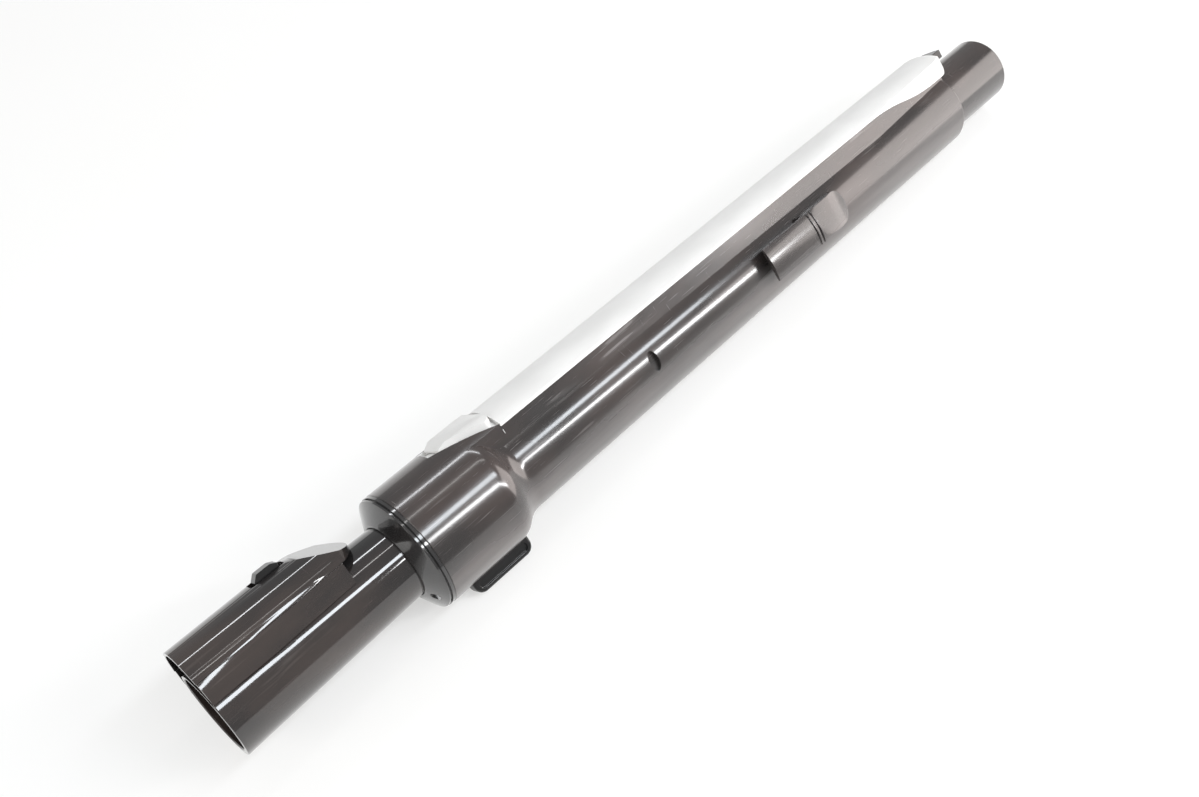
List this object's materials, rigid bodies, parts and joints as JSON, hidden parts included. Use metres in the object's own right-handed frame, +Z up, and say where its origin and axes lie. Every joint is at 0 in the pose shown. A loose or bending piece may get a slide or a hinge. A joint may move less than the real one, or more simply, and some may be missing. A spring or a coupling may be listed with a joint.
{
  "type": "vacuum cleaner tube",
  "caption": "Telescopic vacuum cleaner tube for a powered floor head: sliding inner tube with a latch socket, collared outer tube with a pale cable cover, release button and a parking fin.",
  "frame": {"origin": "middle of the lying tube's footprint, on the floor", "axes": "+X along the tube from the nozzle socket to the handle spigot, +Z up; it lies on its collar, the tip of its parking fin and the rim of the handle end"},
  "size_m": [0.5448, 0.0594, 0.062],
  "materials": {
    "outer_tube": "gloss",
    "top_cover": "satin",
    "slide_button": "satin",
    "brake_shoe": "satin",
    "brake_spring": "satin",
    "button_spring": "satin",
    "end_ring": "gloss",
    "end_ring_screws": "satin",
    "wiper_seal": "matte",
    "accessory_hook": "gloss",
    "parking_fin": "gloss",
    "handle_terminal_block": "satin",
    "handle_terminal_pins": "satin",
    "curl_cord": "satin",
    "inner_tube": "gloss",
    "contact_cover": "gloss",
    "nozzle_latch": "gloss",
    "latch_pivot_pin": "satin",
    "latch_spring": "satin",
    "socket_gasket": "matte",
    "nozzle_terminal_block": "satin",
    "nozzle_contacts": "satin",
    "lead_wires": "satin",
    "rear_guide_bush": "satin",
    "cord_carrier": "satin",
    "rear_seal": "matte",
    "slide_rail": "satin"
  },
  "bodies": {
    "outer": {"outer_tube": "outer_tube", "top_cover": "top_cover", "brake_spring": "brake_spring", "button_spring": "button_spring", "end_ring": "end_ring", "end_ring_screws": "end_ring_screws", "wiper_seal": "wiper_seal", "accessory_hook": "accessory_hook", "parking_fin": "parking_fin", "handle_terminal_block": "handle_terminal_block", "handle_terminal_pins": "handle_terminal_pins", "curl_cord": "curl_cord", "slide_rail": "slide_rail"},
    "inner": {"inner_tube": "inner_tube", "contact_cover": "contact_cover", "latch_pivot_pin": "latch_pivot_pin", "latch_spring": "latch_spring", "socket_gasket": "socket_gasket", "nozzle_terminal_block": "nozzle_terminal_block", "nozzle_contacts": "nozzle_contacts", "lead_wires": "lead_wires", "rear_guide_bush": "rear_guide_bush", "cord_carrier": "cord_carrier", "rear_seal": "rear_seal"},
    "button": {"slide_button": "slide_button"},
    "brake": {"brake_shoe": "brake_shoe"},
    "latch": {"nozzle_latch": "nozzle_latch"}
  },
  "joints": [
    {"name": "telescope", "type": "slide", "parent": "outer", "child": "inner", "axis": [-0.9998, 0, 0.0218], "range_m": [0, 0.24]},
    {"name": "button_slide", "type": "slide", "parent": "outer", "child": "button", "axis": [-0.9998, 0, 0.0218], "range_m": [0, 0.004], "stiffness_N_per_m": 900, "springref_m": -0.002},
    {"name": "brake_lift", "type": "slide", "parent": "outer", "child": "brake", "axis": [0.0163, 0.6641, 0.7475], "range_m": [0, 0.001]},
    {"name": "latch_rock", "type": "hinge", "parent": "inner", "child": "latch", "pos_m": [-0.2375, 0.01605, 0.05034], "axis": [-0.0145, 0.7477, -0.6639], "range_deg": [0, 7], "stiffness_Nm_per_rad": 0.3, "springref_deg": -5.73}
  ],
  "couplings": [
    {"joint": "brake_lift", "follows": "button_slide", "ratio": 0.25}
  ]
}
